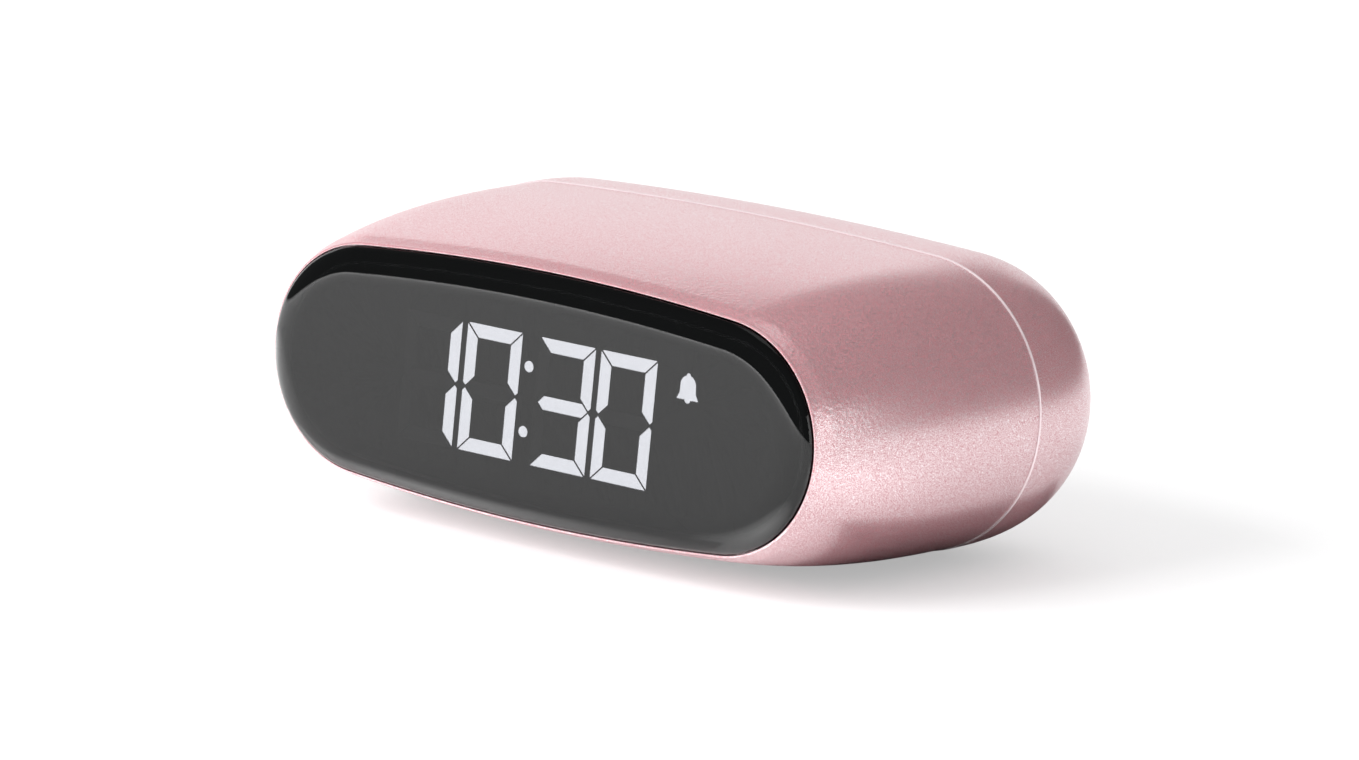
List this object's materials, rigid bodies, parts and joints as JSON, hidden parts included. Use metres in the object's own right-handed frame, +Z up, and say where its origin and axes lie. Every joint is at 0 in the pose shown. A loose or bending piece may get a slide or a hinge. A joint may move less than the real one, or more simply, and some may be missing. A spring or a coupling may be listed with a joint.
{
  "type": "bedside alarm clock",
  "caption": "Pebble-shaped bedside alarm clock with a smoked lens over lit figures, a domed rear cover with push buttons, an alarm slider and a hinged battery door.",
  "frame": {"origin": "centre of the whole clock's box in plan, on the plane that the two feet rest on", "axes": "+X to the viewer's right along the clock's width, +Y from the lens towards the back, +Z up"},
  "size_m": [0.0956, 0.0612, 0.0394],
  "materials": {
    "rose_case": "satin metallic rose paint with fine sparkle on moulded shell",
    "rose_button": "satin rose moulded plastic",
    "smoked_lens": "polished smoked acrylic",
    "black_foam": "adhesive foam",
    "black_film": "matt black printed film",
    "black_plastic": "black moulded plastic",
    "lit_white": "lit white diffuser",
    "dark_pipe": "unlit smoked diffuser",
    "led_body": "light source package",
    "circuit_board": "green solder mask",
    "black_chip": "moulded chip package",
    "ceramic": "ceramic",
    "socket_white": "natural nylon",
    "copper": "bright copper alloy",
    "steel": "nickel plated steel",
    "cell_can": "plain grey sleeve with bare ends",
    "grey_rubber": "soft silicone",
    "red_wire": "insulated lead",
    "black_wire": "insulated lead",
    "grey_cable": "jacketed cable"
  },
  "bodies": {
    "case": {"battery_cell_lower": "cell_can", "battery_cell_upper": "cell_can", "battery_wire_black": "black_wire", "battery_wire_red": "red_wire", "board_parts": "ceramic", "board_screws": "steel", "bridge_contact": "steel", "button_board_screws": "steel", "buzzer": "black_plastic", "case_screws": "steel", "clock_chip": "black_chip", "dark_segments": "dark_pipe", "digit_segments": "lit_white", "display_housing": "black_plastic", "display_mask": "black_film", "front_chassis": "black_plastic", "front_foot": "grey_rubber", "front_lens": "smoked_lens", "front_shell": "rose_case", "led_chips": "led_body", "left_button_board": "circuit_board", "left_button_cable": "grey_cable", "lens_gasket": "black_foam", "lower_cell_spring": "steel", "main_board": "circuit_board", "negative_contact": "steel", "positive_contact": "steel", "quartz_crystal": "steel", "rear_cover": "rose_case", "rear_foot": "grey_rubber", "right_button_board": "circuit_board", "right_button_cable": "grey_cable", "slide_switch_body": "steel", "switch_bodies": "black_plastic", "touch_foil": "copper", "touch_spring": "copper", "upper_cell_spring": "steel", "wire_sockets": "socket_white"},
    "hour_key": {"hour_button": "rose_button", "hour_plunger": "black_plastic"},
    "minute_key": {"minute_button": "rose_button", "minute_plunger": "black_plastic"},
    "time_key": {"time_button": "rose_button", "time_plunger": "black_plastic"},
    "alarm_key": {"alarm_button": "rose_button", "alarm_plunger": "black_plastic"},
    "slider": {"alarm_slider": "rose_button", "alarm_switch_lever": "black_plastic"},
    "door": {"battery_door": "rose_case"}
  },
  "joints": [
    {"name": "hour_press", "type": "slide", "parent": "case", "child": "hour_key", "axis": [0, -1, 0], "range_m": [0, 0.0006], "stiffness_N_per_m": 500},
    {"name": "minute_press", "type": "slide", "parent": "case", "child": "minute_key", "axis": [0, -1, 0], "range_m": [0, 0.0006], "stiffness_N_per_m": 500},
    {"name": "time_press", "type": "slide", "parent": "case", "child": "time_key", "axis": [0, -1, 0], "range_m": [0, 0.0006], "stiffness_N_per_m": 500},
    {"name": "alarm_press", "type": "slide", "parent": "case", "child": "alarm_key", "axis": [0, -1, 0], "range_m": [0, 0.0006], "stiffness_N_per_m": 500},
    {"name": "alarm_slide", "type": "slide", "parent": "case", "child": "slider", "axis": [0, 0, -1], "range_m": [0, 0.002]},
    {"name": "door_hinge", "type": "hinge", "parent": "case", "child": "door", "pos_m": [0, 0.02767, 0.0088], "axis": [-1, 0, 0], "range_deg": [0, 90]}
  ]
}
